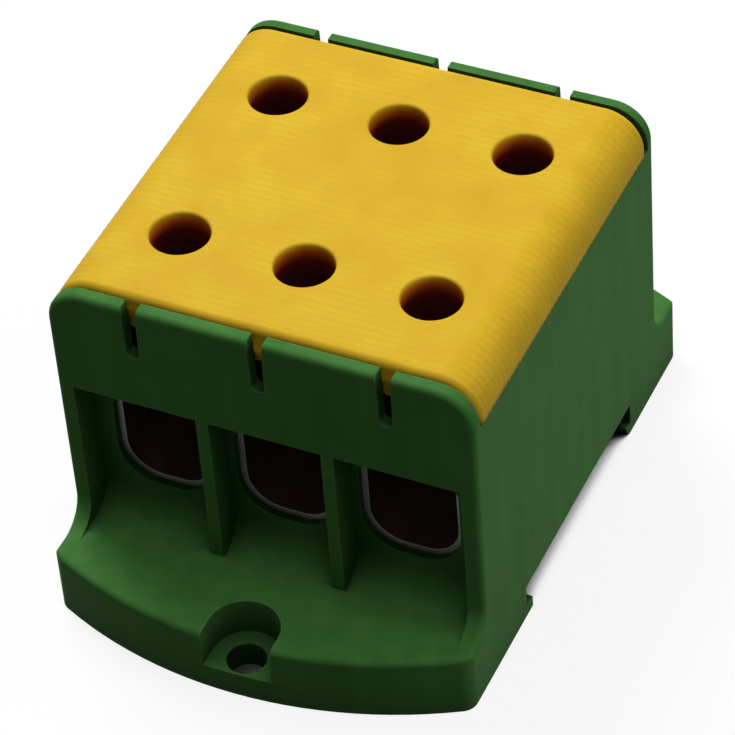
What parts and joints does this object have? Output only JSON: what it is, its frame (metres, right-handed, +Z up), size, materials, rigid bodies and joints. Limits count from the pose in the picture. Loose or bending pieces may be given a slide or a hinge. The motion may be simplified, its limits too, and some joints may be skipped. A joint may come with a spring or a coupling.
{
  "type": "earth terminal block",
  "caption": "Green and yellow moulded terminal block for earth conductors, with set-screw clamps, open wire bays at both ends, feet for panel screws and a seat for a mounting rail.",
  "frame": {"origin": "middle of the footprint on the mounting surface, below the centre of the whole block", "axes": "+X along the row of poles, +Y along the wire channels towards the rear entries, +Z up from the mounting surface to the cover"},
  "size_m": [0.0572, 0.0844, 0.0493],
  "materials": {
    "green_plastic": "fine moulded satin",
    "yellow_plastic": "fine moulded satin with shallow ridges",
    "terminal_aluminium": "extruded, tin plated",
    "screw_steel": "zinc plated"
  },
  "bodies": {
    "block": {"housing": "green_plastic", "cover": "yellow_plastic", "terminal_left": "terminal_aluminium", "terminal_middle": "terminal_aluminium", "terminal_right": "terminal_aluminium"},
    "clamp_screw_front_left": {"clamp_screw_front_left": "screw_steel"},
    "clamp_screw_front_middle": {"clamp_screw_front_middle": "screw_steel"},
    "clamp_screw_front_right": {"clamp_screw_front_right": "screw_steel"},
    "clamp_screw_rear_left": {"clamp_screw_rear_left": "screw_steel"},
    "clamp_screw_rear_middle": {"clamp_screw_rear_middle": "screw_steel"},
    "clamp_screw_rear_right": {"clamp_screw_rear_right": "screw_steel"}
  },
  "joints": [
    {"name": "clamp_front_left", "type": "slide", "parent": "block", "child": "clamp_screw_front_left", "axis": [0, 0, -1], "range_m": [-0.004, 0.008]},
    {"name": "clamp_front_middle", "type": "slide", "parent": "block", "child": "clamp_screw_front_middle", "axis": [0, 0, -1], "range_m": [-0.004, 0.008]},
    {"name": "clamp_front_right", "type": "slide", "parent": "block", "child": "clamp_screw_front_right", "axis": [0, 0, -1], "range_m": [-0.004, 0.008]},
    {"name": "clamp_rear_left", "type": "slide", "parent": "block", "child": "clamp_screw_rear_left", "axis": [0, 0, -1], "range_m": [-0.004, 0.008]},
    {"name": "clamp_rear_middle", "type": "slide", "parent": "block", "child": "clamp_screw_rear_middle", "axis": [0, 0, -1], "range_m": [-0.004, 0.008]},
    {"name": "clamp_rear_right", "type": "slide", "parent": "block", "child": "clamp_screw_rear_right", "axis": [0, 0, -1], "range_m": [-0.004, 0.008]}
  ]
}
